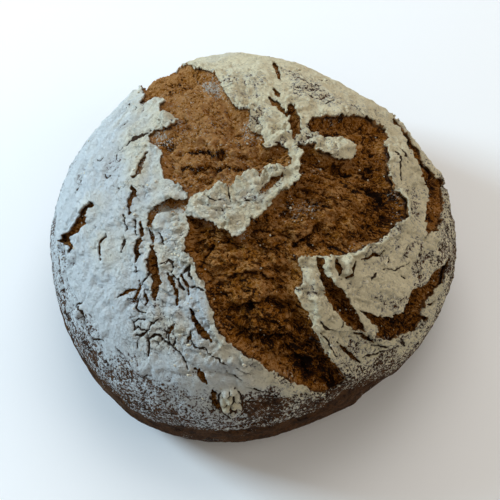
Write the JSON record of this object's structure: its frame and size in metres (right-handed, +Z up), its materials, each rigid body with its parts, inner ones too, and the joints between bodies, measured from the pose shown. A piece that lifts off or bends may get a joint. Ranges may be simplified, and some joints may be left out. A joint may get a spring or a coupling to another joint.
{
  "type": "rye bread loaf",
  "caption": "Round free-standing rye loaf, flour-dusted, with a flat base, a domed top and a thick skin torn open over rough brown crust.",
  "frame": {"origin": "middle of the loaf's box, on the flat base it rests on", "axes": "+Z up from the base through the crown, -Y towards the side with the large bare tear that runs down to the base, +X to that side's right"},
  "size_m": [0.1958, 0.2008, 0.0887],
  "materials": {
    "rye_crust": "dark baked rye crust, rough and matt, with lumps, crags and small pits",
    "flour_dust": "dry flour baked on to the skin, matt and powdery, pale grey to cream, thin and speckled near the base"
  },
  "bodies": {
    "root": {"loaf": "rye_crust"}
  },
  "joints": []
}
